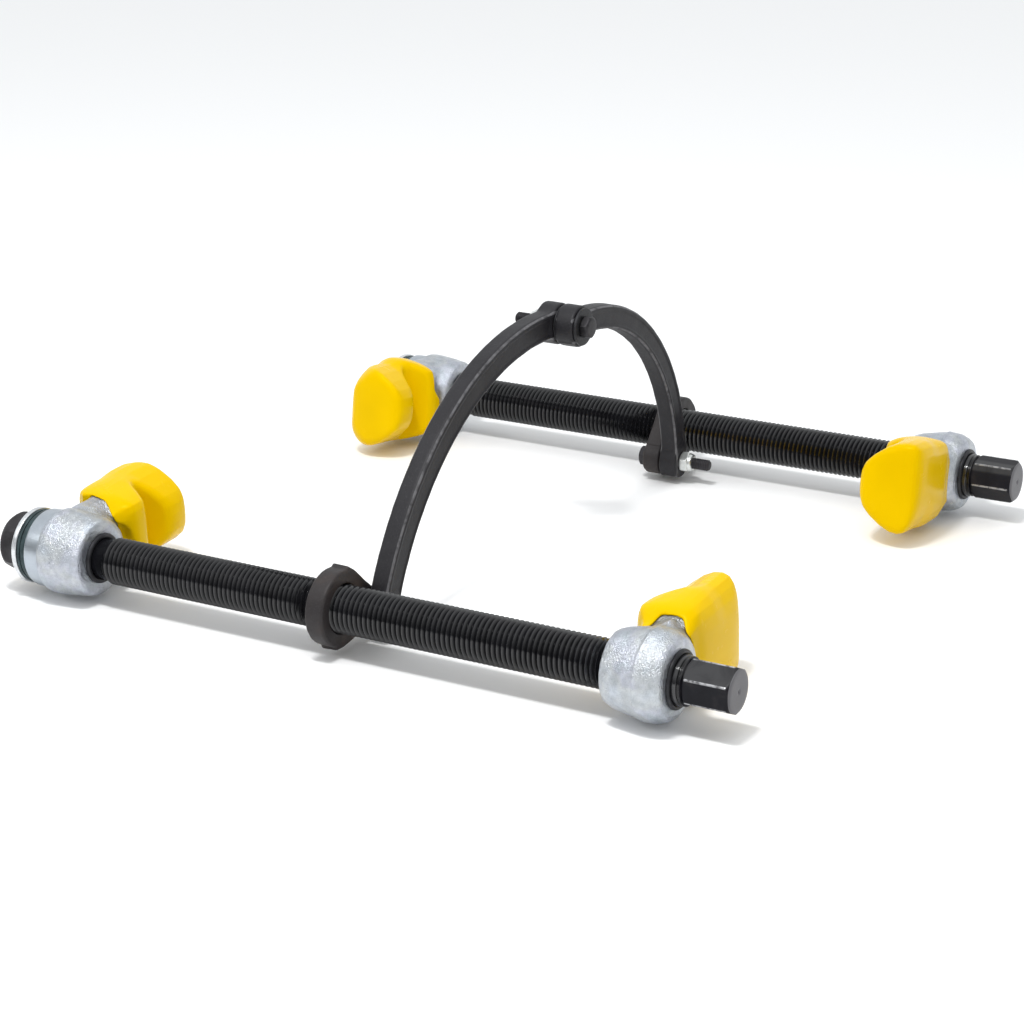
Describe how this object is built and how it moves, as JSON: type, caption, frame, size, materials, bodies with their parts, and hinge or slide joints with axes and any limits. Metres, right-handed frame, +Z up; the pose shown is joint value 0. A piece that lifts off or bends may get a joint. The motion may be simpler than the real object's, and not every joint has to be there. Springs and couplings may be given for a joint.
{
  "type": "coil spring compressor",
  "caption": "Coil spring compressor: threaded spindles with zinc-plated hook jaws under yellow claw covers, joined by a hinged safety bracket of curved black half-arches.",
  "frame": {"origin": "on the ground, below the middle of the whole tool", "axes": "+X along the spindles towards their 19 mm drive hexagons, +Y from the front spindle to the rear one, +Z up"},
  "size_m": [0.3872, 0.3548, 0.1224],
  "materials": {
    "black_steel": "black oxide, oiled",
    "black_head": "black oxide, forged",
    "bright_zinc": "bright zinc plated",
    "thrust_ring": "dark phosphated",
    "zinc_casting": "rough forging, bright zinc plated",
    "yellow_plastic": "moulded, semi-gloss",
    "black_forging": "black oxide with a brown cast",
    "black_bolt": "black oxide",
    "black_paint": "satin black over a forged bar"
  },
  "bodies": {
    "front_base": {"front_fixed_jaw": "zinc_casting", "front_fixed_bush": "black_steel", "front_fixed_cover": "yellow_plastic"},
    "front_screw": {"front_spindle": "black_steel", "front_head_nut": "black_head", "front_washer": "bright_zinc", "front_thrust_ring": "thrust_ring"},
    "front_slider": {"front_travel_jaw": "zinc_casting", "front_travel_insert": "black_steel", "front_travel_cover": "yellow_plastic"},
    "front_collar": {"front_ring": "black_forging", "front_pivot_bolt": "black_bolt", "front_pivot_nut": "bright_zinc"},
    "rear_base": {"rear_fixed_jaw": "zinc_casting", "rear_fixed_bush": "black_steel", "rear_fixed_cover": "yellow_plastic"},
    "rear_screw": {"rear_spindle": "black_steel", "rear_head_nut": "black_head", "rear_washer": "bright_zinc", "rear_thrust_ring": "thrust_ring"},
    "rear_slider": {"rear_travel_jaw": "zinc_casting", "rear_travel_insert": "black_steel", "rear_travel_cover": "yellow_plastic"},
    "rear_collar": {"rear_ring": "black_forging", "rear_pivot_bolt": "black_bolt", "rear_pivot_nut": "bright_zinc"},
    "front_link": {"front_half_arch": "black_paint", "top_pivot_bolt": "black_bolt", "top_pivot_nut": "bright_zinc", "top_washers": "black_bolt"},
    "rear_link": {"rear_half_arch": "black_paint"}
  },
  "joints": [
    {"name": "front_screw_turn", "type": "hinge", "parent": "front_base", "child": "front_screw", "pos_m": [-0.0132, -0.15675, 0.0221], "axis": [1, 0, 0], "range_deg": [0, 10080]},
    {"name": "front_jaw_travel", "type": "slide", "parent": "front_base", "child": "front_slider", "axis": [-1, 0, 0], "range_m": [0, 0.07]},
    {"name": "rear_screw_turn", "type": "hinge", "parent": "rear_base", "child": "rear_screw", "pos_m": [-0.0064, 0.15675, 0.0221], "axis": [1, 0, 0], "range_deg": [0, 10080]},
    {"name": "rear_jaw_travel", "type": "slide", "parent": "rear_base", "child": "rear_slider", "axis": [-1, 0, 0], "range_m": [0, 0.07]},
    {"name": "front_collar_slide", "type": "slide", "parent": "front_base", "child": "front_collar", "axis": [1, 0, 0], "range_m": [-0.11, 0.025]},
    {"name": "front_bracket_pivot", "type": "hinge", "parent": "front_collar", "child": "front_link", "pos_m": [-0.0002, -0.13376, 0.0152], "axis": [1, 0, 0], "range_deg": [-25, 35]},
    {"name": "top_bracket_pivot", "type": "hinge", "parent": "front_link", "child": "rear_link", "pos_m": [0.0058, 0.02315, 0.1117], "axis": [1, 0, 0], "range_deg": [-45, 12]},
    {"name": "rear_bracket_pivot", "type": "hinge", "parent": "rear_link", "child": "rear_collar", "pos_m": [0.0108, 0.13512, 0.01169], "axis": [1, 0, 0], "range_deg": [-25, 12]},
    {"name": "rear_collar_slide", "type": "slide", "parent": "rear_collar", "child": "rear_base", "axis": [1, 0, 0], "range_m": [-0.02, 0.11]}
  ],
  "couplings": [
    {"joint": "front_jaw_travel", "follows": "front_screw_turn", "m_per_rad": 0.00039788},
    {"joint": "rear_jaw_travel", "follows": "rear_screw_turn", "m_per_rad": 0.00039788}
  ]
}
